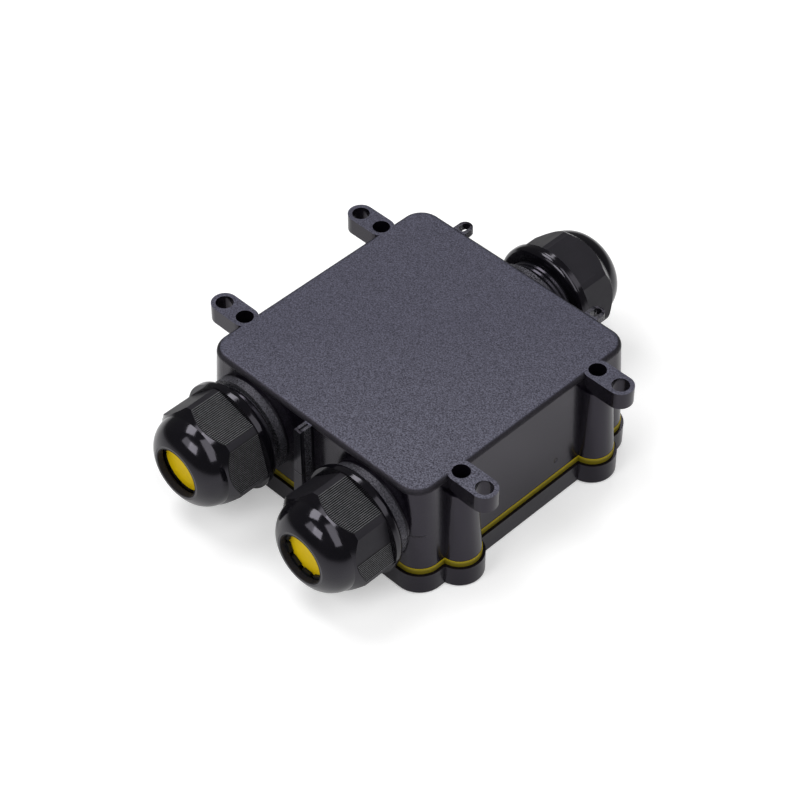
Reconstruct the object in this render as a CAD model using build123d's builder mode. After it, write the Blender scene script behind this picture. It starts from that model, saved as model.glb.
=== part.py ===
from build123d import *
from math import degrees, atan
import os

# Three-way waterproof junction box lying on its lid, with three screwed cable glands.
# The origin is under the middle of the lid, on the surface that the box rests on.
# +Z points to the closed back of the housing, and the pair of glands points to -Y.

# Lid
lid_size_x = 84.5
lid_size_y = 85.0
lid_height = 7.0
lid_corner_radius = 7.4
lid_floor = 2.4
lid_lip = 0.85
lid_land_depth = 1.5
lid_land_width = 4.0
lid_edge_chamfer = 0.6

# Posts that carry the lid screws, and the ears above them
post_setback_x = 1.42
post_setback_y = 16.35
lobe_radius = 7.0
post_top_radius = 4.5
ear_hole_offset = 8.17
ear_width = 7.6
ear_thickness = 5.3
ear_hole_radius = 2.5
post_hole_radius = 2.5

# Housing
gasket_show = 1.9
housing_height = 28.3
wall_step = 1.0
back_inset_x = 1.6
back_inset_y = 0.4
wall = 2.6
back_wall = 2.8
back_edge_round = 1.6
cavity_corner_radius = 4.0

# Gland spigots on the housing
gland_spacing_x = 45.14
gland_height = 20.8
collar_radius = 14.25
collar_length = 2.5
spigot_radius = 12.4
spigot_end_clearance = 0.2
spigot_bore_radius = 10.15
entry_radius = 7.0
shoulder_thickness = 1.4
spigot_chamfer = 0.6

# Rib and strap eyes on the end walls, all a little lower than the back
lug_drop = 1.1
rib_top_width = 2.4
rib_foot_width = 3.4
rib_reach = 4.4
rib_slit_width = 0.6
rib_slit_depth = 1.5
eye_spacing_x = 49.8
eye_width = 4.4
eye_reach = 4.5
eye_thickness = 2.2
eye_slot_width = 2.2
eye_slot_setback = 0.7

# Gland nut
nut_length = 22.0
nut_flats = 28.0
nut_corner_radius = 15.65
nut_skirt_radius = 16.2
nut_skirt_length = 3.1
nut_rear_round = 1.9
mouth_radius = 7.33
mouth_land = 1.6
mouth_face_radius = 8.3
dome_length = 6.5
dome_radius_at_hex = 13.6
dome_bulge = 1.15
hex_start = 9.0
thread_clearance = 0.05
cone_length = 8.2

# Clamp ring, seal and blanking plug that the nut carries
insert_clearance = 0.05
cone_clearance = 0.15
finger_tip_depth = 2.8
finger_count = 10
finger_slot = 1.2
finger_length = 8.0
seal_face_depth = 3.0
seal_face_radius = 7.2
seal_radius = 7.9
seal_nose_length = 2.2
clamp_flange_thickness = 1.8
clamp_flange_bore = 6.4
plug_radius = 5.5
plug_length = 11.0
plug_clearance = 0.05
plug_end_chamfer = 0.8
tip_clearance = 0.15
hook_radius = 6.4
hook_reach = 0.9
shoulder_clearance = 0.3

# How far each nut stands off its collar, as screwed on
left_nut_gap = 2.6
right_nut_gap = 0.3
back_nut_gap = 5.0
left_nut_turn = 44.0
right_nut_turn = 42.0
back_nut_turn = 20.0

# Lid screws and the inserts that they bite in
screw_radius = 2.0
screw_hole_radius = 2.2
screw_length = 13.0
screw_head_radius = 3.6
screw_head_height = 2.4
screw_head_recess = 2.9
screw_head_clearance = 0.3
drive_radius = 1.3
drive_depth = 1.4
insert_radius = 3.0
insert_length = 7.0
insert_bore_clearance = 0.05

# Terminal block on the inside of the back
pole_count = 3
pole_pitch = 11.0
block_depth_y = 20.0
block_height = 13.5
block_end_tab = 6.0
block_tab_width = 8.0
block_tab_height = 3.0
block_corner_radius = 1.0
pole_groove_width = 1.2
pole_groove_depth = 1.2
boss_height = 2.0
boss_radius = 3.0
cage_width = 6.0
cage_height = 7.0
cage_cover = 2.0
cage_roof = 1.0
cage_setback = 1.0
cage_clearance = 0.1
wire_bore_radius = 2.1
terminal_screw_radius = 1.75
terminal_screw_setback = 5.2
terminal_screw_length = 5.0
terminal_screw_reach = 2.8
screwdriver_well_radius = 2.4
block_screw_radius = 1.4
block_screw_length = 6.0
block_screw_head_radius = 2.6
block_screw_head_height = 1.6
drive_slot_width = 0.7
drive_slot_depth = 0.8

# Levels and sizes that follow from the ones above
post_spacing_x = lid_size_x - 2 * post_setback_x
post_spacing_y = lid_size_y - 2 * post_setback_y
ear_hole_spacing_x = post_spacing_x + 2 * ear_hole_offset
rim_z = lid_height + gasket_show
back_z = rim_z + housing_height
ear_z = back_z - ear_thickness
ceiling_z = back_z - back_wall
land_z = lid_height - lid_land_depth
rim_size_x = lid_size_x - 2 * wall_step
rim_size_y = lid_size_y - 2 * wall_step
rim_corner_radius = lid_corner_radius - wall_step
post_radius = lobe_radius - wall_step
back_size_x = rim_size_x - 2 * back_inset_x
back_size_y = rim_size_y - 2 * back_inset_y
post_draft = degrees(atan((post_radius - post_top_radius) / (ear_z - rim_z)))
lug_z = back_z - lug_drop
rib_draft = degrees(atan((rib_foot_width - rib_top_width) / 2 / (lug_z - rim_z)))
collar_end_y = rim_size_y / 2 + collar_length
spigot_length = nut_length - mouth_land - cone_length - spigot_end_clearance
spigot_end_y = collar_end_y + spigot_length
nut_bore_radius = spigot_radius + thread_clearance
shoulder_y = rim_size_y / 2 - wall + shoulder_thickness
clamp_rear_depth = collar_end_y + nut_length - shoulder_y - shoulder_clearance
seal_rear_depth = clamp_rear_depth - clamp_flange_thickness
block_length = pole_count * pole_pitch
block_screw_spacing = block_length + block_end_tab
terminal_screw_spacing = block_depth_y - 2 * terminal_screw_setback


def lid_outline(inset):
    """Rounded rectangle with a round lobe at each screw, all moved inwards by the inset."""
    RectangleRounded(lid_size_x - 2 * inset, lid_size_y - 2 * inset, lid_corner_radius - inset)
    with GridLocations(post_spacing_x, post_spacing_y, 2, 2):
        Circle(lobe_radius - inset)


def save(piece, name):
    piece.part.label = name
    export_step(piece.part, f"parts/{name}.step")


os.makedirs("parts", exist_ok=True)


class Gland:
    """Axis of one cable gland: where it leaves the box and which way it points."""

    def __init__(self, x, outwards, nut_gap, nut_turn, hooked):
        self.x = x
        self.outwards = outwards
        self.nut_gap = nut_gap
        self.nut_turn = nut_turn
        self.hooked = hooked

    def face(self, y):
        """Plane across the axis at a distance y from the middle of the box, facing outwards."""
        return Plane(
            origin=(self.x, self.outwards * y, gland_height),
            x_dir=(-self.outwards, 0, 0),
            z_dir=(0, self.outwards, 0),
        )

    def section(self):
        """Plane through the axis with x as radius and y as distance out of the nut's mouth."""
        return Plane(
            origin=(self.x, self.outwards * self.mouth_y(), gland_height),
            x_dir=(1, 0, 0),
            z_dir=(0, 0, self.outwards),
        )

    def mouth_y(self):
        return collar_end_y + self.nut_gap + nut_length

    def axis(self):
        return Axis((self.x, 0, gland_height), (0, self.outwards, 0))


glands = {
    "left": Gland(-gland_spacing_x / 2, -1, left_nut_gap, left_nut_turn, False),
    "right": Gland(gland_spacing_x / 2, -1, right_nut_gap, right_nut_turn, True),
    "back": Gland(0, 1, back_nut_gap, back_nut_turn, False),
}


# Housing with its ears, posts and gland spigots
with BuildPart() as housing:
    # Drafted shell that is closed at the back
    with BuildSketch(Plane.XY.offset(rim_z)):
        RectangleRounded(rim_size_x, rim_size_y, rim_corner_radius)
    with BuildSketch(Plane.XY.offset(back_z)):
        RectangleRounded(back_size_x, back_size_y, rim_corner_radius)
    loft()
    fillet(housing.faces().sort_by(Axis.Z)[-1].edges(), back_edge_round)

    # Collar and threaded spigot of each gland, flat where the collar meets the rim
    for gland in glands.values():
        with BuildSketch(gland.face(back_size_y / 2 - wall)):
            Circle(collar_radius)
        extrude(amount=collar_end_y - back_size_y / 2 + wall)
        with BuildSketch(gland.face(collar_end_y)):
            Circle(spigot_radius)
        extrude(amount=spigot_length)
        spigot_end = housing.faces().sort_by(Axis.Y)[-1 if gland.outwards > 0 else 0]
        chamfer(spigot_end.edges(), spigot_chamfer)
    with BuildSketch(Plane.XY.offset(rim_z)):
        Rectangle(2 * collar_end_y, 2 * collar_end_y)
    extrude(amount=-collar_radius, mode=Mode.SUBTRACT)

    # Chamber for the wires
    with BuildSketch(Plane.XY.offset(rim_z)):
        RectangleRounded(rim_size_x - 2 * wall, rim_size_y - 2 * wall, cavity_corner_radius)
    with BuildSketch(Plane.XY.offset(ceiling_z)):
        RectangleRounded(back_size_x - 2 * wall, back_size_y - 2 * wall, cavity_corner_radius)
    loft(mode=Mode.SUBTRACT)

    # Bored spigots with a shoulder that stops the clamp ring
    for gland in glands.values():
        with BuildSketch(gland.face(spigot_end_y)):
            Circle(spigot_bore_radius)
        extrude(amount=shoulder_y - spigot_end_y, mode=Mode.SUBTRACT)
        with BuildSketch(gland.face(shoulder_y)):
            Circle(entry_radius)
        extrude(amount=-2 * wall, mode=Mode.SUBTRACT)

    # Drafted posts from the rim to the ears, carried on to the ceiling inside
    with BuildSketch(Plane.XY.offset(rim_z)):
        with GridLocations(post_spacing_x, post_spacing_y, 2, 2):
            Circle(post_radius)
    extrude(amount=ear_z - rim_z, taper=post_draft)
    with BuildSketch(Plane.XY.offset(ear_z)):
        with GridLocations(post_spacing_x, post_spacing_y, 2, 2):
            Circle(post_top_radius)
        Rectangle(back_size_x - wall, back_size_y - wall, mode=Mode.INTERSECT)
    extrude(amount=ear_thickness - back_wall)

    # Ears flush with the back, each with a mounting hole outside the post's hole
    ear_run = (ear_hole_spacing_x - post_spacing_x) / 2
    ear_middle = (ear_hole_spacing_x + post_spacing_x) / 2
    with BuildSketch(Plane.XY.offset(ear_z)):
        with GridLocations(ear_middle, post_spacing_y, 2, 2):
            SlotCenterToCenter(ear_run, ear_width)
    extrude(amount=ear_thickness)

    # Drafted rib between the two front glands, with a slit in its top
    root_y = back_size_y / 2 - wall / 2
    rib_tip_y = rim_size_y / 2 + rib_reach
    with BuildSketch(Plane.XY.offset(rim_z)):
        with Locations((0, -(root_y + rib_tip_y) / 2)):
            Rectangle(rib_foot_width, rib_tip_y - root_y)
    extrude(amount=lug_z - rim_z, taper=rib_draft)
    slit_length = rib_reach - rib_top_width / 2
    with BuildSketch(Plane.XY.offset(lug_z)):
        with Locations((0, -(rim_size_y + slit_length) / 2)):
            Rectangle(rib_slit_width, slit_length)
    extrude(amount=-rib_slit_depth, mode=Mode.SUBTRACT)

    # Two slotted eyes beside the back gland
    eye_tip_y = rim_size_y / 2 + eye_reach
    with BuildSketch(Plane.XY.offset(lug_z)):
        with Locations((0, eye_tip_y - eye_width / 2)):
            with GridLocations(eye_spacing_x, 0, 2, 1):
                Circle(eye_width / 2)
        with Locations((0, (eye_tip_y - eye_width / 2 + root_y) / 2)):
            with GridLocations(eye_spacing_x, 0, 2, 1):
                Rectangle(eye_width, abs(eye_tip_y - eye_width / 2 - root_y))
        with Locations((0, root_y - eye_width)):
            Rectangle(rim_size_x, 2 * eye_width, mode=Mode.SUBTRACT)
    extrude(amount=-eye_thickness)
    eye_slot_length = eye_reach - eye_slot_setback
    with BuildSketch(Plane.XY.offset(lug_z)):
        with Locations((0, (rim_size_y + eye_slot_length) / 2)):
            with GridLocations(eye_spacing_x, 0, 2, 1):
                SlotOverall(eye_slot_length, eye_slot_width, rotation=90)
    extrude(amount=-eye_thickness, mode=Mode.SUBTRACT)

    # Bosses under the terminal block
    with BuildSketch(Plane.XY.offset(ceiling_z)):
        with GridLocations(block_screw_spacing, 0, 2, 1):
            Circle(boss_radius)
    extrude(amount=-boss_height)
    with BuildSketch(Plane.XY.offset(ceiling_z - boss_height)):
        with GridLocations(block_screw_spacing, 0, 2, 1):
            Circle(block_screw_radius + thread_clearance)
    extrude(amount=block_screw_length - block_tab_height, mode=Mode.SUBTRACT)

    # Holes through the ears and the posts, and the wider seats of the thread inserts
    with BuildSketch(Plane.XY.offset(back_z)):
        with GridLocations(ear_hole_spacing_x, post_spacing_y, 2, 2):
            Circle(ear_hole_radius)
    extrude(amount=-ear_thickness, mode=Mode.SUBTRACT)
    with BuildSketch(Plane.XY.offset(back_z)):
        with GridLocations(post_spacing_x, post_spacing_y, 2, 2):
            Circle(post_hole_radius)
    extrude(amount=-housing_height, mode=Mode.SUBTRACT)
    with BuildSketch(Plane.XY.offset(rim_z)):
        with GridLocations(post_spacing_x, post_spacing_y, 2, 2):
            Circle(insert_radius)
    extrude(amount=insert_length, mode=Mode.SUBTRACT)
save(housing, "housing")


with BuildPart() as lid:
    # Shallow tray with a raised lip round the gasket
    with BuildSketch():
        lid_outline(0)
    extrude(amount=lid_height)
    chamfer(lid.faces().sort_by(Axis.Z)[0].edges(), lid_edge_chamfer)
    with BuildSketch(Plane.XY.offset(land_z)):
        lid_outline(lid_lip)
    extrude(amount=lid_land_depth, mode=Mode.SUBTRACT)
    tray_inset = lid_lip + lid_land_width
    with BuildSketch(Plane.XY.offset(lid_floor)):
        RectangleRounded(lid_size_x - 2 * tray_inset, lid_size_y - 2 * tray_inset, cavity_corner_radius)
        with GridLocations(post_spacing_x, post_spacing_y, 2, 2):
            Circle(post_radius, mode=Mode.SUBTRACT)
    extrude(amount=land_z - lid_floor, mode=Mode.SUBTRACT)

    # Screw holes with their heads sunk in the outside
    with BuildSketch():
        with GridLocations(post_spacing_x, post_spacing_y, 2, 2):
            Circle(screw_hole_radius)
    extrude(amount=lid_height, mode=Mode.SUBTRACT)
    with BuildSketch():
        with GridLocations(post_spacing_x, post_spacing_y, 2, 2):
            Circle(screw_head_radius + screw_head_clearance)
    extrude(amount=screw_head_recess, mode=Mode.SUBTRACT)
save(lid, "lid")


with BuildPart() as lid_gasket:
    # Flat ring on the lid's land, with a hole for each screw
    with BuildSketch(Plane.XY.offset(land_z)):
        lid_outline(lid_lip)
        RectangleRounded(
            lid_size_x - 2 * tray_inset,
            lid_size_y - 2 * tray_inset,
            cavity_corner_radius,
            mode=Mode.SUBTRACT,
        )
        with GridLocations(post_spacing_x, post_spacing_y, 2, 2):
            Circle(post_radius)
            Circle(screw_hole_radius, mode=Mode.SUBTRACT)
    extrude(amount=rim_z - land_z)
save(lid_gasket, "lid_gasket")


with BuildPart() as lid_screws:
    # Pan heads with a hexagon socket, bearing on the floor of their recess
    with BuildSketch(Plane.XY.offset(screw_head_recess)):
        with GridLocations(post_spacing_x, post_spacing_y, 2, 2):
            Circle(screw_head_radius)
    extrude(amount=-screw_head_height)
    with BuildSketch(Plane.XY.offset(screw_head_recess)):
        with GridLocations(post_spacing_x, post_spacing_y, 2, 2):
            Circle(screw_radius)
    extrude(amount=screw_length)
    with BuildSketch(Plane.XY.offset(screw_head_recess - screw_head_height)):
        with GridLocations(post_spacing_x, post_spacing_y, 2, 2):
            RegularPolygon(drive_radius, 6)
    extrude(amount=drive_depth, mode=Mode.SUBTRACT)
save(lid_screws, "lid_screws")


with BuildPart() as thread_inserts:
    # Brass sleeves pressed into the posts from the rim
    with BuildSketch(Plane.XY.offset(rim_z)):
        with GridLocations(post_spacing_x, post_spacing_y, 2, 2):
            Circle(insert_radius)
            Circle(screw_radius + insert_bore_clearance, mode=Mode.SUBTRACT)
    extrude(amount=insert_length)
save(thread_inserts, "thread_inserts")


def cone_radius(depth):
    """Radius of the nut's inner cone at a depth behind the mouth."""
    slope = (nut_bore_radius - mouth_radius) / cone_length
    return mouth_radius + slope * (depth - mouth_land)


def make_gland_nut(gland, name):
    with BuildPart() as nut:
        # Domed and bored body of revolution
        with BuildSketch(gland.section()):
            with BuildLine():
                face_line = Line((mouth_radius, 0), (mouth_face_radius, 0))
                dome = SagittaArc(face_line @ 1, (dome_radius_at_hex, -dome_length), dome_bulge)
                cone = Line(dome @ 1, (nut_corner_radius, -hex_start))
                side = Line(cone @ 1, (nut_corner_radius, nut_skirt_length - nut_length))
                step = Line(side @ 1, (nut_skirt_radius, nut_skirt_length - nut_length))
                skirt = Line(step @ 1, (nut_skirt_radius, nut_rear_round - nut_length))
                rear_round = RadiusArc(
                    skirt @ 1, (nut_skirt_radius - nut_rear_round, -nut_length), nut_rear_round
                )
                rear = Line(rear_round @ 1, (nut_bore_radius, -nut_length))
                bore = Line(rear @ 1, (nut_bore_radius, -mouth_land - cone_length))
                Polyline(bore @ 1, (mouth_radius, -mouth_land), face_line @ 0)
            make_face()
        revolve(axis=gland.axis())
        # Six flats, which end at the round skirt
        with BuildSketch(gland.face(gland.mouth_y())):
            Circle(2 * nut_corner_radius)
            RegularPolygon(
                nut_flats / 2, 6, major_radius=False, rotation=gland.nut_turn, mode=Mode.SUBTRACT
            )
        extrude(amount=nut_skirt_length - nut_length, mode=Mode.SUBTRACT)
    save(nut, name)


def make_clamp_ring(gland, name):
    tip_radius = seal_face_radius + tip_clearance
    outer_radius = spigot_bore_radius - insert_clearance
    cone_slope = (nut_bore_radius - mouth_radius) / cone_length
    shoulder_depth = mouth_land + (outer_radius + cone_clearance - mouth_radius) / cone_slope
    with BuildPart() as clamp_ring:
        # Sleeve with a rear flange, coned at the front to match the inside of the nut
        with BuildSketch(gland.section()):
            with BuildLine():
                Polyline(
                    (tip_radius, -finger_tip_depth),
                    (cone_radius(finger_tip_depth) - cone_clearance, -finger_tip_depth),
                    (outer_radius, -shoulder_depth),
                    (outer_radius, -clamp_rear_depth),
                    (clamp_flange_bore, -clamp_rear_depth),
                    (clamp_flange_bore, -seal_rear_depth),
                    (seal_radius + insert_clearance, -seal_rear_depth),
                    (seal_radius + insert_clearance, -seal_face_depth - seal_nose_length),
                    close=True,
                )
            make_face()
            if gland.hooked:
                hook_depth = finger_tip_depth - hook_reach
                with BuildLine():
                    Polyline(
                        (hook_radius, -hook_depth),
                        (cone_radius(hook_depth) - cone_clearance, -hook_depth),
                        (cone_radius(finger_tip_depth) - cone_clearance, -finger_tip_depth),
                        (hook_radius, -finger_tip_depth),
                        close=True,
                    )
                make_face()
        revolve(axis=gland.axis())
        # Slots that part the front of the sleeve into fingers
        with BuildSketch(gland.face(gland.mouth_y())):
            with PolarLocations((hook_radius + outer_radius) / 2, finger_count):
                Rectangle(outer_radius, finger_slot)
            Circle(clamp_flange_bore - insert_clearance, mode=Mode.SUBTRACT)
        extrude(amount=-finger_tip_depth - finger_length, mode=Mode.SUBTRACT)
    save(clamp_ring, name)


def make_cable_seal(gland, name):
    with BuildPart() as cable_seal:
        # Soft sleeve with a slightly coned nose
        with BuildSketch(gland.section()):
            with BuildLine():
                Polyline(
                    (plug_radius + plug_clearance, -seal_face_depth),
                    (seal_face_radius, -seal_face_depth),
                    (seal_radius, -seal_face_depth - seal_nose_length),
                    (seal_radius, -seal_rear_depth),
                    (plug_radius + plug_clearance, -seal_rear_depth),
                    close=True,
                )
            make_face()
        revolve(axis=gland.axis())
    save(cable_seal, name)


def make_blanking_plug(gland, name):
    with BuildPart() as blanking_plug:
        # Round rod that closes the seal until a cable takes its place
        with BuildSketch(gland.face(gland.mouth_y() - seal_face_depth)):
            Circle(plug_radius)
        extrude(amount=-plug_length)
        inner_end = blanking_plug.faces().sort_by(Axis.Y)[0 if gland.outwards > 0 else -1]
        chamfer(inner_end.edges(), plug_end_chamfer)
    save(blanking_plug, name)


for side, gland in glands.items():
    make_gland_nut(gland, f"gland_nut_{side}")
    make_clamp_ring(gland, f"clamp_ring_{side}")
    make_cable_seal(gland, f"cable_seal_{side}")
    make_blanking_plug(gland, f"blanking_plug_{side}")


# Terminal block, hung from the bosses under the back
block_top_z = ceiling_z - boss_height
block_bottom_z = block_top_z - block_height
cage_top_z = block_top_z - cage_cover
cage_bottom_z = cage_top_z - cage_height
wire_bore_z = cage_top_z - cage_roof - wire_bore_radius
terminal_screw_tip_z = cage_bottom_z + terminal_screw_reach

with BuildPart() as terminal_block:
    # Moulded body with a screw tab at each end
    with BuildSketch(Plane.XY.offset(block_top_z)):
        RectangleRounded(block_length, block_depth_y, block_corner_radius)
    extrude(amount=-block_height)
    with BuildSketch(Plane.XY.offset(block_top_z)):
        RectangleRounded(block_length + 2 * block_end_tab, block_tab_width, block_corner_radius)
    extrude(amount=-block_tab_height)

    # Grooves between the poles
    with BuildSketch(Plane.XY.offset(block_bottom_z)):
        with GridLocations(pole_pitch, block_depth_y, pole_count - 1, 2):
            Rectangle(pole_groove_width, 2 * pole_groove_depth)
    extrude(amount=block_height, mode=Mode.SUBTRACT)

    # Pockets for the cages, and the wells through which the screws are turned
    with BuildSketch(Plane.XY.offset(cage_top_z + cage_clearance)):
        with GridLocations(pole_pitch, 0, pole_count, 1):
            Rectangle(cage_width + 2 * cage_clearance, 2 * block_depth_y)
    extrude(amount=-cage_height - cage_clearance, mode=Mode.SUBTRACT)
    with BuildSketch(Plane.XY.offset(block_bottom_z)):
        with GridLocations(pole_pitch, terminal_screw_spacing, pole_count, 2):
            Circle(screwdriver_well_radius)
    extrude(amount=block_height - cage_cover - cage_height, mode=Mode.SUBTRACT)

    # Screw holes in the tabs
    with BuildSketch(Plane.XY.offset(block_top_z)):
        with GridLocations(block_screw_spacing, 0, 2, 1):
            Circle(block_screw_radius + thread_clearance)
    extrude(amount=-block_tab_height, mode=Mode.SUBTRACT)
save(terminal_block, "terminal_block")


def make_terminal_cage(x, name):
    cage_length = block_depth_y - 2 * cage_setback
    with BuildPart() as terminal_cage:
        # Brass bar with a wire bore along it and two tapped holes across it
        with BuildSketch(Plane.XY.offset(cage_bottom_z)):
            with Locations((x, 0)):
                Rectangle(cage_width, cage_length)
        extrude(amount=cage_height)
        with BuildSketch(Plane.XZ.offset(-block_depth_y / 2)):
            with Locations((x, wire_bore_z)):
                Circle(wire_bore_radius)
        extrude(amount=block_depth_y, mode=Mode.SUBTRACT)
        with BuildSketch(Plane.XY.offset(cage_bottom_z)):
            with Locations((x, 0)):
                with GridLocations(0, terminal_screw_spacing, 1, 2):
                    Circle(terminal_screw_radius + thread_clearance)
        extrude(amount=wire_bore_z - cage_bottom_z, mode=Mode.SUBTRACT)
    save(terminal_cage, name)


for pole in range(pole_count):
    pole_x = (pole - (pole_count - 1) / 2) * pole_pitch
    make_terminal_cage(pole_x, f"terminal_cage_{pole + 1}")


with BuildPart() as terminal_screws:
    # Slotted grub screws that press the wires against the cages
    with BuildSketch(Plane.XY.offset(terminal_screw_tip_z)):
        with GridLocations(pole_pitch, terminal_screw_spacing, pole_count, 2):
            Circle(terminal_screw_radius)
    extrude(amount=-terminal_screw_length)
    with BuildSketch(Plane.XY.offset(terminal_screw_tip_z - terminal_screw_length)):
        with GridLocations(pole_pitch, terminal_screw_spacing, pole_count, 2):
            Rectangle(2 * terminal_screw_radius, drive_slot_width)
    extrude(amount=drive_slot_depth, mode=Mode.SUBTRACT)
save(terminal_screws, "terminal_screws")


with BuildPart() as block_screws:
    # Slotted pan heads under the tabs, with shanks up into the bosses
    tab_z = block_top_z - block_tab_height
    with BuildSketch(Plane.XY.offset(tab_z)):
        with GridLocations(block_screw_spacing, 0, 2, 1):
            Circle(block_screw_head_radius)
    extrude(amount=-block_screw_head_height)
    with BuildSketch(Plane.XY.offset(tab_z)):
        with GridLocations(block_screw_spacing, 0, 2, 1):
            Circle(block_screw_radius)
    extrude(amount=block_screw_length)
    with BuildSketch(Plane.XY.offset(tab_z - block_screw_head_height)):
        with GridLocations(block_screw_spacing, 0, 2, 1):
            Rectangle(2 * block_screw_head_radius, drive_slot_width)
    extrude(amount=drive_slot_depth, mode=Mode.SUBTRACT)
save(block_screws, "block_screws")
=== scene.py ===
import math

import bmesh
import bpy
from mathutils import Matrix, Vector


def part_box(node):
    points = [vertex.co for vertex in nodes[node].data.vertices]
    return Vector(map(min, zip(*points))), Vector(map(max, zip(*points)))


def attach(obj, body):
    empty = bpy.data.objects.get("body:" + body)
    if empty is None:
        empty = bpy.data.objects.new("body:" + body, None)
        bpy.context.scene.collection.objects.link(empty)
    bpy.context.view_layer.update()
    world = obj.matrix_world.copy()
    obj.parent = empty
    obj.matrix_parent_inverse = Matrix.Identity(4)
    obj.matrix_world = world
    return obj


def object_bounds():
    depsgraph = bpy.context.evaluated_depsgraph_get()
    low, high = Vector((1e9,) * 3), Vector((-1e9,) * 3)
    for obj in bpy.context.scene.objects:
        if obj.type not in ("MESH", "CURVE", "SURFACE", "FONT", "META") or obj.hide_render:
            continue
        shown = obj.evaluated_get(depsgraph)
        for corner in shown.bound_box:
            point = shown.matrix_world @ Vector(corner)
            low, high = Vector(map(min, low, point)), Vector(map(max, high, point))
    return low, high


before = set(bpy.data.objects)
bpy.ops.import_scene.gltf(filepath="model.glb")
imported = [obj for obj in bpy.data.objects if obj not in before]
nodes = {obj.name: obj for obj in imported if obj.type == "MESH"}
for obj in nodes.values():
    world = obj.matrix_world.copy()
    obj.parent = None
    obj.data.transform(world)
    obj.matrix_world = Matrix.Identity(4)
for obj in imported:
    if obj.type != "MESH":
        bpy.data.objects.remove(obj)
cad_low, cad_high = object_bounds()

# Camera of the photograph, in metres, fitted to its edges and corners
CAMERA_PLACE = Vector((0.33818, -0.34693, 0.50218))
CAMERA_TARGET = Vector((-0.01452, 0.00721, 0.0))
CAMERA_LENS_MM = 112.33
CAMERA_SENSOR_MM = 36.0
CAMERA_NEAR = 0.01
CAMERA_FAR = 20

# Softboxes: azimuth from -Y towards +X and elevation in degrees, width and height in metres,
# and the level that each one gives a flat surface that faces it
SOFTBOX_DISTANCE = 1.2
SOFTBOXES = {
    "softbox_left": (-77, 65, 0.58, 0.47, 0.36),
    "softbox_front": (3, 42, 0.42, 0.46, 0.25),
    "softbox_front_side": (-20, 42, 0.42, 0.46, 0.10),
    "softbox_right": (72, 54, 0.50, 1.15, 0.36),
    "softbox_left_rear": (-141, 54, 0.35, 0.30, 0.14),
    "softbox_right_rear": (126, 41, 0.66, 0.66, 0.14),
}
WORLD_STRENGTH = 0.12

# Floor: paleness near the object and far off, where the change lies,
# and the light that only the camera sees
FLOOR_SIZE = 6.0
FLOOR_NEAR = 0.82
FLOOR_FAR = 0.12
FLOOR_NEAR_RADIUS = 0.10
FLOOR_FAR_RADIUS = 0.40
FLOOR_GLOW = 0.12
FLOOR_FILL = 0.22
FLOOR_FAR_FILL = 0.85

# Glands: distance of the front axes from the middle of the box, height of all the axes, and thread
GLAND_SIDES = ("left", "right", "back")
GLAND_OFFSET_X = 0.02257
GLAND_HEIGHT = 0.0208
THREAD_PITCH = 0.0015
THREAD_HEIGHT = 0.0007

# Nut, measured out from its axis and back from its mouth
NUT_FLAT_RADIUS = 0.014
NUT_CORNER_RADIUS = 0.01565
DOME_END_RADIUS = 0.0136
DOME_END_DEPTH = 0.0065
CORNER_DEPTH = 0.009
FLAT_END_DEPTH = 0.0189
MOUTH_RADIUS = 0.0076

# Front nuts: how far each is turned, in degrees from a corner on +X, and the middle of its first flat
FRONT_NUT_TURNS = {"left": 44.0, "right": 42.0}
FLAT_STEP = 60
FIRST_FLAT = 30

# Grip ribs on the flats of the front nuts: how many lie across a flat, their size,
# and how many each ribbed flat has; the ribs of one flat stop half way
RIB_COUNT = 25
HALF_RIB_COUNT = 12
RIB_ZONE_WIDTH = 0.0138
RIB_HEIGHT = 0.0002
RIB_CREST_SHARE = 0.34
RIB_END_MARGIN = 0.0001
RIB_SINK = 0.0003
RIBBED_FLATS = {
    "left": {0: RIB_COUNT, 2: RIB_COUNT, 3: RIB_COUNT, 5: RIB_COUNT},
    "right": {0: RIB_COUNT, 2: RIB_COUNT, 3: RIB_COUNT, 5: HALF_RIB_COUNT},
}

# Housing surfaces: where the back, the collars and the spigots start, and how wide a change is
BACK_Z = cad_high[2]
BACK_START_Z = BACK_Z - 0.002
BACK_FULL_Z = BACK_Z - 0.001
WALL_Y = 0.0415
COLLAR_END_Y = 0.044
ZONE_BLUR = 0.0002
ZONE_GAP = 0.0001

# Housing texture: scales in ripples per metre, heights in metres, and what each zone adds to the
# roughness of the walls; the grain grows from a far to a near distance towards the front right corner
GRAIN_SCALE = 2400.0
PAINTED_GLINT_SCALE = 3100.0
COLLAR_GRAIN_SCALE = 1700.0
WALL_FLOW_SCALE = 500.0
WALL_MOTTLE_SCALE = 300.0
BACK_GRAIN_HEIGHT = 0.00007
EDGE_GRAIN_HEIGHT = 0.00022
COLLAR_GRAIN_HEIGHT = 0.00022
GRAIN_FAR = -0.01
GRAIN_NEAR = 0.07
WALL_ROUGHNESS = 0.15
WALL_ROUGHNESS_SPREAD = 0.05
BACK_DULLNESS = 0.35
EDGE_DULLNESS = 0.30
COLLAR_DULLNESS = 0.08
HOUSING_IOR = 1.47

# Parting line on the front and back walls, and the ejector mark on the right wall
PARTING_Z = GLAND_HEIGHT
SEAM_START_Y = WALL_Y - 0.004
SEAM_FULL_Y = WALL_Y - 0.0035
SEAM_FOOT = 0.00022
SEAM_CREST = 0.00008
SEAM_HEIGHT = 0.0001
MARK_START_X = 0.040
MARK_Y = 0.011
MARK_Z = 0.0136
MARK_RADIUS = 0.0007
MARK_DEPTH = 0.0003

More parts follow.
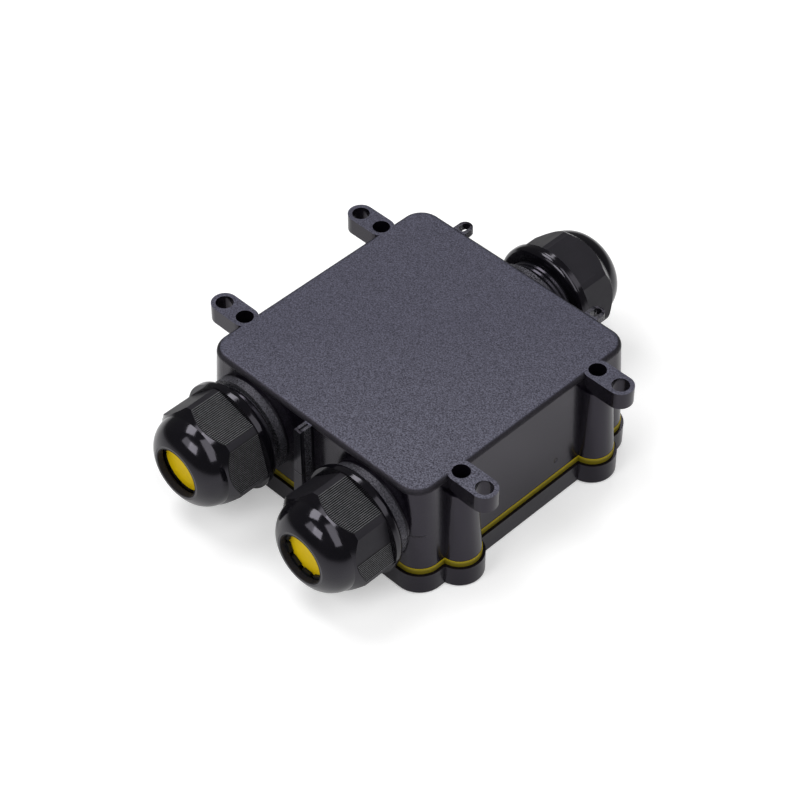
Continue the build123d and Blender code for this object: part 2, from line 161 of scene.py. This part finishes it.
# Nut texture: the wave and the fine skin of its moulding, and where it is dull
NUT_WAVE_SCALE = 170.0
NUT_WAVE_HEIGHT = 0.00009
NUT_SKIN_SCALE = 2600.0
NUT_SKIN_HEIGHT = 0.000003
MOUTH_DULLNESS = 0.7
FLAT_DULLNESS = 0.42
NUT_IOR = 1.48

# Cool cast of what the black plastics mirror
BLACK_TINT = (0.88, 0.81, 1.0, 1)
NUT_TINT = (0.91, 0.87, 1.0, 1)

# Colours: where there are two, the darker and the paler end of a mottle
WALL_COLOURS = ((0.0025, 0.002, 0.0035, 1), (0.005, 0.004, 0.007, 1))
BACK_FAR_COLOURS = ((0.012, 0.013, 0.020, 1), (0.090, 0.091, 0.128, 1))
BACK_NEAR_COLOURS = ((0.003, 0.003, 0.007, 1), (0.140, 0.143, 0.186, 1))
# Painted glints: pale specks on the back that stand in for highlights
BACK_PAINTED_GLINT_COLOUR = (0.170, 0.172, 0.220, 1)
EDGE_COLOURS = ((0.0005, 0.0005, 0.0005, 1), (0.005, 0.005, 0.006, 1))
COLLAR_COLOURS = ((0.006, 0.006, 0.007, 1), (0.085, 0.085, 0.098, 1))
SPIGOT_COLOUR = (0.006, 0.006, 0.008, 1)
LID_COLOURS = ((0.002, 0.0015, 0.003, 1), (0.004, 0.003, 0.006, 1))
NUT_COLOURS = ((0.002, 0.002, 0.003, 1), (0.004, 0.0035, 0.005, 1))
# Painted highlight on the crests of the grip ribs
CREST_HIGHLIGHT_COLOURS = ((0.060, 0.060, 0.066, 1), (0.120, 0.120, 0.130, 1))
CLAMP_COLOURS = ((0.002, 0.002, 0.002, 1), (0.004, 0.004, 0.004, 1))
BLOCK_COLOURS = ((0.68, 0.67, 0.61, 1), (0.75, 0.74, 0.69, 1))
SEAL_COLOUR = (0.90, 0.62, 0.002)
PLUG_COLOUR = (0.90, 0.63, 0.002)
SILICONE_SHADE = 0.92
GASKET_FACE_COLOURS = ((0.50, 0.37, 0.003, 1), (0.60, 0.44, 0.004, 1))
# Painted shade on the gasket's edge: darkest across its middle, lighter above and below
GASKET_DEEP_SHADE_COLOUR = (0.15, 0.12, 0.002, 1)
GASKET_EDGE_SHADE_COLOUR = (0.30, 0.24, 0.008, 1)
STEEL_COLOUR = (0.62, 0.61, 0.58)
BRASS_COLOUR = (0.75, 0.58, 0.3)
METAL_SHADE = 0.8

# Painted shade on the gasket's edge: how far from its middle the darkest band ends and the lighter bands
# start, as shares of its thickness
DEEP_SHADE_END = 0.25
EDGE_SHADE_START = 0.45


def make_camera():
    data = bpy.data.cameras.new("camera")
    data.lens = CAMERA_LENS_MM
    data.sensor_width = CAMERA_SENSOR_MM
    data.clip_start = CAMERA_NEAR
    data.clip_end = CAMERA_FAR
    camera = bpy.data.objects.new("camera", data)
    bpy.context.collection.objects.link(camera)
    camera.location = CAMERA_PLACE
    camera.rotation_mode = "QUATERNION"
    camera.rotation_quaternion = (CAMERA_TARGET - CAMERA_PLACE).to_track_quat("-Z", "Y")
    bpy.context.scene.camera = camera


def make_softbox(name, azimuth, elevation, width, height, level):
    turn = math.radians(azimuth)
    lift = math.radians(elevation)
    way = Vector((math.sin(turn) * math.cos(lift), -math.cos(turn) * math.cos(lift), math.sin(lift)))
    data = bpy.data.lights.new(name, "AREA")
    data.shape = "RECTANGLE"
    data.size = width
    data.size_y = height
    data.energy = level * math.pi * math.pi * SOFTBOX_DISTANCE * SOFTBOX_DISTANCE
    light = bpy.data.objects.new(name, data)
    bpy.context.collection.objects.link(light)
    light.location = SOFTBOX_DISTANCE * way
    light.rotation_mode = "QUATERNION"
    light.rotation_quaternion = (-way).to_track_quat("-Z", "Y")


def make_lights():
    for name, settings in SOFTBOXES.items():
        make_softbox(name, *settings)


def make_world():
    world = bpy.data.worlds.new("world")
    world.use_nodes = True
    background = world.node_tree.nodes["Background"]
    background.inputs["Color"].default_value = (1, 1, 1, 1)
    background.inputs["Strength"].default_value = WORLD_STRENGTH
    bpy.context.scene.world = world


class Nodes:
    """Short way to add shader nodes to one material and join them."""

    def __init__(self, name):
        self.material = bpy.data.materials.new(name)
        self.material.use_nodes = True
        self.tree = self.material.node_tree
        self.shader = self.tree.nodes["Principled BSDF"]

    def add(self, kind, links=None, **settings):
        node = self.tree.nodes.new(kind)
        for key, value in settings.items():
            setattr(node, key, value)
        for key, value in (links or {}).items():
            self.feed(node.inputs[key], value)
        return node

    def feed(self, socket, value):
        if isinstance(value, bpy.types.NodeSocket):
            self.tree.links.new(value, socket)
        else:
            socket.default_value = value

    def set(self, **values):
        for name, value in values.items():
            self.feed(self.shader.inputs[name.replace("_", " ")], value)

    def maths(self, operation, first, second=0.0):
        return self.add("ShaderNodeMath", {0: first, 1: second}, operation=operation).outputs[0]

    def times(self, first, second):
        return self.maths("MULTIPLY", first, second)

    def plus(self, first, second):
        return self.maths("ADD", first, second)

    def minus(self, first, second):
        return self.maths("SUBTRACT", first, second)

    def size(self, value):
        return self.maths("ABSOLUTE", value)

    def distance(self, first, second):
        """Length of the diagonal over two sides at right angles."""
        return self.maths("SQRT", self.plus(self.times(first, first), self.times(second, second)))

    def place(self):
        return self.add("ShaderNodeTexCoord").outputs["Object"]

    def axes(self):
        return self.add("ShaderNodeSeparateXYZ", {"Vector": self.place()}).outputs

    def facing(self):
        """The way that the surface faces, as x, y and z."""
        normal = self.add("ShaderNodeNewGeometry").outputs["Normal"]
        return self.add("ShaderNodeSeparateXYZ", {"Vector": normal}).outputs

    def ramp(self, value, low, high, to_low=0.0, to_high=1.0):
        links = {"Value": value, "From Min": low, "From Max": high, "To Min": to_low, "To Max": to_high}
        return self.add("ShaderNodeMapRange", links, clamp=True).outputs[0]

    def noise(self, scale, detail=2.0, roughness=0.5):
        """Noise with a scale in ripples per metre."""
        links = {"Scale": scale, "Detail": detail, "Roughness": roughness, "Vector": self.place()}
        return self.add("ShaderNodeTexNoise", links).outputs["Fac"]

    def spread(self, noise, low=0.0, high=1.0):
        """Noise stretched so that its common values run from low to high."""
        return self.ramp(noise, 0.3, 0.7, low, high)

    def mottle(self, scale, low=0.0, high=1.0):
        return self.spread(self.noise(scale, 3.0, 0.6), low, high)

    def mix(self, factor, first, second):
        node = self.add("ShaderNodeMix", data_type="RGBA")
        self.feed(node.inputs[0], factor)
        self.feed(node.inputs[6], first)
        self.feed(node.inputs[7], second)
        return node.outputs[2]

    def bump(self, height):
        """Bump from a height in metres."""
        node = self.add("ShaderNodeBump", {"Height": height, "Distance": 1.0, "Strength": 1.0})
        self.tree.links.new(node.outputs[0], self.shader.inputs["Normal"])

    def skin(self, scale, height):
        """Fine bump all over, with a scale in ripples per metre and a height in metres."""
        self.bump(self.times(self.noise(scale), height))


def from_gland_axis(m, x, y, z):
    """Distances across and up from the axis of the nearest gland."""
    in_front = m.maths("LESS_THAN", y, 0.0)
    centre = m.times(m.times(m.maths("SIGN", x), GLAND_OFFSET_X), in_front)
    return m.minus(x, centre), m.minus(z, GLAND_HEIGHT)


def spigot_thread(m, x, y, z):
    """Screw thread round each spigot as a height from 0 to 1."""
    across, up = from_gland_axis(m, x, y, z)
    turn = m.maths("DIVIDE", m.maths("ARCTAN2", up, across), 2 * math.pi)
    along = m.maths("DIVIDE", y, THREAD_PITCH)
    return m.maths("PINGPONG", m.plus(along, turn), 0.5)


def housing_zones(m, y, z):
    """Masks of the flat back, the edges rolled over beside it, the collars and the spigots."""
    up = m.facing()[2]
    flat = m.ramp(up, 0.8, 0.97)
    back = m.times(flat, m.ramp(z, BACK_START_Z, BACK_FULL_Z))
    edge = m.times(m.ramp(up, 0.08, 0.3), m.minus(1.0, flat))
    far_y = m.size(y)
    past_wall = m.ramp(far_y, WALL_Y, WALL_Y + ZONE_BLUR + ZONE_GAP)
    collar = m.times(past_wall, m.ramp(far_y, COLLAR_END_Y + ZONE_BLUR, COLLAR_END_Y))
    spigot = m.ramp(far_y, COLLAR_END_Y + ZONE_GAP, COLLAR_END_Y + ZONE_GAP + ZONE_BLUR)
    return back, edge, collar, spigot


def housing_colour(m, x, y, zones, grain):
    """Near-black walls, and grain that is stronger towards the front right corner, with painted glints on
    the back.
    """
    back, edge, collar, spigot = zones
    speckle = m.ramp(grain, 0.35, 0.68)
    nearness = m.ramp(m.minus(x, y), GRAIN_FAR, GRAIN_NEAR)
    far_colour = m.mix(speckle, *BACK_FAR_COLOURS)
    back_colour = m.mix(nearness, far_colour, m.mix(speckle, *BACK_NEAR_COLOURS))
    # Painted glints: sparse pale specks on the back in place of highlights
    painted_glint = m.ramp(m.noise(PAINTED_GLINT_SCALE, 2.0, 0.6), 0.66, 0.74)
    back_colour = m.mix(painted_glint, back_colour, BACK_PAINTED_GLINT_COLOUR)
    colour = m.mix(m.spread(m.noise(WALL_FLOW_SCALE)), *WALL_COLOURS)
    colour = m.mix(back, colour, back_colour)
    colour = m.mix(edge, colour, m.mix(speckle, *EDGE_COLOURS))
    colour = m.mix(collar, colour, m.mix(speckle, *COLLAR_COLOURS))
    return m.mix(spigot, colour, SPIGOT_COLOUR)


def housing_roughness(m, zones):
    back, edge, collar, _ = zones
    rough = m.plus(WALL_ROUGHNESS, m.times(back, BACK_DULLNESS))
    rough = m.plus(rough, m.times(edge, EDGE_DULLNESS))
    rough = m.plus(rough, m.times(collar, COLLAR_DULLNESS))
    return m.plus(rough, m.mottle(WALL_MOTTLE_SCALE, 0.0, WALL_ROUGHNESS_SPREAD))


def moulding_marks(m, x, y, z):
    """Height of the parting line less the depth of the ejector mark."""
    end_wall = m.ramp(m.size(y), SEAM_START_Y, SEAM_FULL_Y)
    from_seam = m.size(m.minus(z, PARTING_Z))
    seam = m.times(end_wall, m.ramp(from_seam, SEAM_FOOT, SEAM_CREST))
    from_mark = m.distance(m.minus(y, MARK_Y), m.minus(z, MARK_Z))
    right_wall = m.ramp(x, MARK_START_X, MARK_START_X + ZONE_BLUR)
    mark = m.times(m.ramp(from_mark, MARK_RADIUS, MARK_RADIUS - ZONE_BLUR), right_wall)
    return m.minus(m.times(seam, SEAM_HEIGHT), m.times(mark, MARK_DEPTH))


def housing_plastic():
    """Black moulding: spark-eroded back, satin walls, coarse collars and threaded spigots."""
    m = Nodes("housing_plastic")
    x, y, z = m.axes()
    zones = housing_zones(m, y, z)
    back, edge, collar, spigot = zones
    grain = m.noise(GRAIN_SCALE, 3.0, 0.65)
    grain_height = m.plus(m.times(back, BACK_GRAIN_HEIGHT), m.times(edge, EDGE_GRAIN_HEIGHT))
    collar_grain = m.noise(COLLAR_GRAIN_SCALE, 3.0, 0.6)
    collar_height = m.times(m.times(collar, COLLAR_GRAIN_HEIGHT), collar_grain)
    thread_height = m.times(m.times(spigot, THREAD_HEIGHT), spigot_thread(m, x, y, z))
    texture = m.plus(m.times(grain_height, grain), collar_height)
    m.set(
        Base_Color=housing_colour(m, x, y, zones, grain),
        Roughness=housing_roughness(m, zones),
        IOR=HOUSING_IOR,
        Specular_Tint=BLACK_TINT,
    )
    m.bump(m.plus(texture, m.plus(thread_height, moulding_marks(m, x, y, z))))
    return m.material


def lid_plastic():
    """Satin black with faint flow marks."""
    m = Nodes("lid_plastic")
    m.set(
        Base_Color=m.mix(m.mottle(220.0), *LID_COLOURS),
        Roughness=m.mottle(400.0, 0.18, 0.24),
        IOR=1.40,
        Specular_Tint=BLACK_TINT,
    )
    m.skin(1400.0, 0.00001)
    return m.material


def nut_plastic():
    """Glossy black, a little wavy as thick mouldings are, and dull on the flats and inside the mouth."""
    m = Nodes("gland_plastic")
    x, y, z = m.axes()
    from_axis = m.distance(*from_gland_axis(m, x, y, z))
    in_mouth = m.ramp(from_axis, MOUTH_RADIUS + ZONE_GAP, MOUTH_RADIUS)
    along_axis = m.ramp(m.size(m.facing()[1]), 0.06, 0.03)
    in_corners = m.ramp(from_axis, NUT_CORNER_RADIUS + ZONE_BLUR, NUT_CORNER_RADIUS + ZONE_GAP)
    flats = m.times(along_axis, in_corners)
    dullness = m.maths("MAXIMUM", m.times(in_mouth, MOUTH_DULLNESS), m.times(flats, FLAT_DULLNESS))
    m.set(
        Base_Color=m.mix(m.mottle(150.0), *NUT_COLOURS),
        Roughness=m.plus(m.spread(m.noise(300.0), 0.10, 0.15), dullness),
        IOR=NUT_IOR,
        Specular_Tint=NUT_TINT,
    )
    wave = m.times(m.noise(NUT_WAVE_SCALE, 1.0, 0.4), NUT_WAVE_HEIGHT)
    m.bump(m.plus(wave, m.times(m.noise(NUT_SKIN_SCALE), NUT_SKIN_HEIGHT)))
    return m.material


def painted_crest_highlight():
    """Crests of the grip ribs, with a painted highlight: paler and duller than the rest of the nut."""
    m = Nodes("painted_crest_highlight")
    crest_mottle = m.mottle(900.0)
    m.set(Base_Color=m.mix(crest_mottle, *CREST_HIGHLIGHT_COLOURS), Roughness=m.ramp(crest_mottle, 0.0, 1.0, 0.35, 0.5), IOR=1.45)
    m.skin(NUT_SKIN_SCALE, 0.000004)
    return m.material


def clamp_plastic():
    """Dull near-black of the clamp rings, and of the grooves between the grip ribs."""
    m = Nodes("clamp_plastic")
    tint = m.mottle(500.0)
    m.set(Base_Color=m.mix(tint, *CLAMP_COLOURS), Roughness=m.ramp(tint, 0.0, 1.0, 0.6, 0.7), IOR=1.4)
    m.skin(1800.0, 0.000008)
    return m.material


def block_plastic():
    """Pale moulding of the terminal block."""
    m = Nodes("block_plastic")
    m.set(Base_Color=m.mix(m.mottle(300.0), *BLOCK_COLOURS), Roughness=0.4)
    m.skin(1500.0, 0.00001)
    return m.material


def shaded(colour, shade):
    return (colour[0] * shade, colour[1] * shade, colour[2] * shade, 1)


def dress_silicone(m, colour):
    m.set(Base_Color=colour, Roughness=m.spread(m.noise(900.0), 0.42, 0.55), IOR=1.3)
    m.bump(m.times(m.noise(2200.0, 3.0, 0.6), 0.00003))


def silicone(name, colour):
    """Yellow silicone, mottled a little and with a fine matt skin."""
    m = Nodes(name)
    dress_silicone(m, m.mix(m.mottle(420.0), shaded(colour, SILICONE_SHADE), shaded(colour, 1)))
    return m.material


def gasket_silicone():
    """Yellow silicone whose edge has painted shade: darker than the flat faces, darkest in a band across
    its middle and lighter above and below it.
    """
    m = Nodes("gasket_rubber")
    low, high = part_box("lid_gasket")
    thickness = high[2] - low[2]
    from_middle = m.size(m.minus(m.axes()[2], (low[2] + high[2]) / 2))
    # Painted shade: the edge darker than the flat faces and darkest across its middle
    shade_blend = m.ramp(from_middle, DEEP_SHADE_END * thickness, EDGE_SHADE_START * thickness)
    painted_edge_shade = m.mix(shade_blend, GASKET_DEEP_SHADE_COLOUR, GASKET_EDGE_SHADE_COLOUR)
    face_colour = m.mix(m.mottle(420.0), *GASKET_FACE_COLOURS)
    flat_face = m.ramp(m.size(m.facing()[2]), 0.6, 0.9)
    dress_silicone(m, m.mix(flat_face, painted_edge_shade, face_colour))
    return m.material


def metal(name, colour):
    """Plated or turned metal with fine marks."""
    m = Nodes(name)
    tint = m.mottle(700.0)
    m.set(
        Metallic=1.0,
        Base_Color=m.mix(tint, shaded(colour, METAL_SHADE), shaded(colour, 1)),
        Roughness=m.ramp(tint, 0.0, 1.0, 0.24, 0.36),
    )
    m.skin(3000.0, 0.00001)
    return m.material


def floor_white():
    """White near the box and darker far off, which the camera sees filled up to white."""
    m = Nodes("floor_white")
    x, y, _ = m.axes()
    far = m.ramp(m.distance(x, y), FLOOR_NEAR_RADIUS, FLOOR_FAR_RADIUS)
    path = m.add("ShaderNodeLightPath")
    seen = m.maths("MAXIMUM", path.outputs["Is Camera Ray"], path.outputs["Is Glossy Ray"])
    seen = m.maths("MAXIMUM", seen, path.outputs["Is Transmission Ray"])
    fill = m.times(path.outputs["Is Camera Ray"], m.ramp(far, 0.0, 1.0, FLOOR_FILL, FLOOR_FAR_FILL))
    near_colour = (FLOOR_NEAR, FLOOR_NEAR, FLOOR_NEAR, 1)
    far_colour = (FLOOR_FAR, FLOOR_FAR, FLOOR_FAR, 1)
    m.set(
        Base_Color=m.mix(far, near_colour, far_colour),
        Roughness=0.9,
        Specular_IOR_Level=0.0,
        Emission_Color=(1, 1, 1, 1),
        Emission_Strength=m.plus(m.times(seen, FLOOR_GLOW), fill),
    )
    return m.material


def make_floor():
    bpy.ops.mesh.primitive_plane_add(size=FLOOR_SIZE, location=(0, 0, 0))
    floor = bpy.context.object
    floor.name = "floor"
    floor.data.materials.append(floor_white())


def flat_front_depth(across):
    """Depth behind the mouth at which a flat meets the dome, at a distance from its middle line."""
    radius = math.hypot(NUT_FLAT_RADIUS, across)
    slope = (CORNER_DEPTH - DOME_END_DEPTH) / (NUT_CORNER_RADIUS - DOME_END_RADIUS)
    return DOME_END_DEPTH + slope * (radius - DOME_END_RADIUS)


def rib_profile(count):
    """Points across the ribs of a flat, as a distance from its middle line and a height."""
    pitch = RIB_ZONE_WIDTH / RIB_COUNT
    crest_start = 0.5 - RIB_CREST_SHARE / 2
    crest_end = 0.5 + RIB_CREST_SHARE / 2
    points = []
    for rib in range(count):
        for place, height in ((0.0, 0.0), (crest_start, RIB_HEIGHT), (crest_end, RIB_HEIGHT)):
            points.append(((rib + place) * pitch - RIB_ZONE_WIDTH / 2, height))
    points.append((count * pitch - RIB_ZONE_WIDTH / 2, 0.0))
    return points


def rib_ring(mesh, origin, angle, across, height):
    """Corners of a cut through the ribs, from the dome to the skirt: two on top and two sunk in the nut."""
    out = Vector((math.cos(angle), 0, math.sin(angle)))
    along = Vector((-math.sin(angle), 0, math.cos(angle)))
    front = flat_front_depth(across) + RIB_END_MARGIN
    rear = FLAT_END_DEPTH - RIB_END_MARGIN
    ring = []
    for depth, lift in ((front, height), (rear, height), (rear, -RIB_SINK), (front, -RIB_SINK)):
        place = origin + Vector((0, depth, 0)) + along * across + out * (NUT_FLAT_RADIUS + lift)
        ring.append(mesh.verts.new(place))
    return ring


def add_ribbed_flat(mesh, origin, angle, count):
    """Closed skin over the ribs of one flat; each rib is a rise, a crest and a fall."""
    rings = [rib_ring(mesh, origin, angle, across, height) for across, height in rib_profile(count)]
    for step, (first, second) in enumerate(zip(rings, rings[1:])):
        is_crest = step % 3 == 1
        for row in range(4):
            after = (row + 1) % 4
            face = mesh.faces.new((first[row], second[row], second[after], first[after]))
            # The crest tops get the painted highlight material, the rest the groove material
            face.material_index = int(is_crest and row == 0)
    mesh.faces.new(rings[0])
    mesh.faces.new(list(reversed(rings[-1])))


def make_grip_ribs(side, groove_material, crest_highlight_material):
    """Ribs on the flats of a front nut, as one mesh that rides on the nut."""
    low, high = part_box(f"gland_nut_{side}")
    origin = Vector(((low[0] + high[0]) / 2, low[1], GLAND_HEIGHT))
    mesh = bmesh.new()
    for flat, count in RIBBED_FLATS[side].items():
        angle = math.radians(FRONT_NUT_TURNS[side] + FIRST_FLAT + FLAT_STEP * flat)
        add_ribbed_flat(mesh, origin, angle, count)
    bmesh.ops.recalc_face_normals(mesh, faces=mesh.faces)
    data = bpy.data.meshes.new(f"grip_ribs_{side}")
    mesh.to_mesh(data)
    mesh.free()
    data.materials.append(groove_material)
    data.materials.append(crest_highlight_material)
    piece = bpy.data.objects.new(f"grip_ribs_{side}", data)
    bpy.context.collection.objects.link(piece)
    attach(piece, f"{side}_nut")


def dress(name, material):
    for slot in nodes[name].material_slots:
        slot.material = material


def dress_box():
    steel = metal("steel", STEEL_COLOUR)
    brass = metal("brass", BRASS_COLOUR)
    dress("housing", housing_plastic())
    dress("lid", lid_plastic())
    dress("lid_gasket", gasket_silicone())
    dress("lid_screws", steel)
    dress("thread_inserts", brass)
    dress("terminal_block", block_plastic())
    dress("terminal_screws", steel)
    dress("block_screws", steel)
    for pole in (1, 2, 3):
        dress(f"terminal_cage_{pole}", brass)


def dress_glands():
    nut_material = nut_plastic()
    clamp_material = clamp_plastic()
    crest_highlight_material = painted_crest_highlight()
    seal_material = silicone("seal_rubber", SEAL_COLOUR)
    plug_material = silicone("plug_rubber", PLUG_COLOUR)
    for side in GLAND_SIDES:
        dress(f"gland_nut_{side}", nut_material)
        dress(f"clamp_ring_{side}", clamp_material)
        dress(f"cable_seal_{side}", seal_material)
        dress(f"blanking_plug_{side}", plug_material)
    for side in FRONT_NUT_TURNS:
        make_grip_ribs(side, clamp_material, crest_highlight_material)


make_camera()
make_world()
make_lights()
make_floor()
dress_box()
dress_glands()

bpy.context.scene.view_settings.view_transform = "Standard"
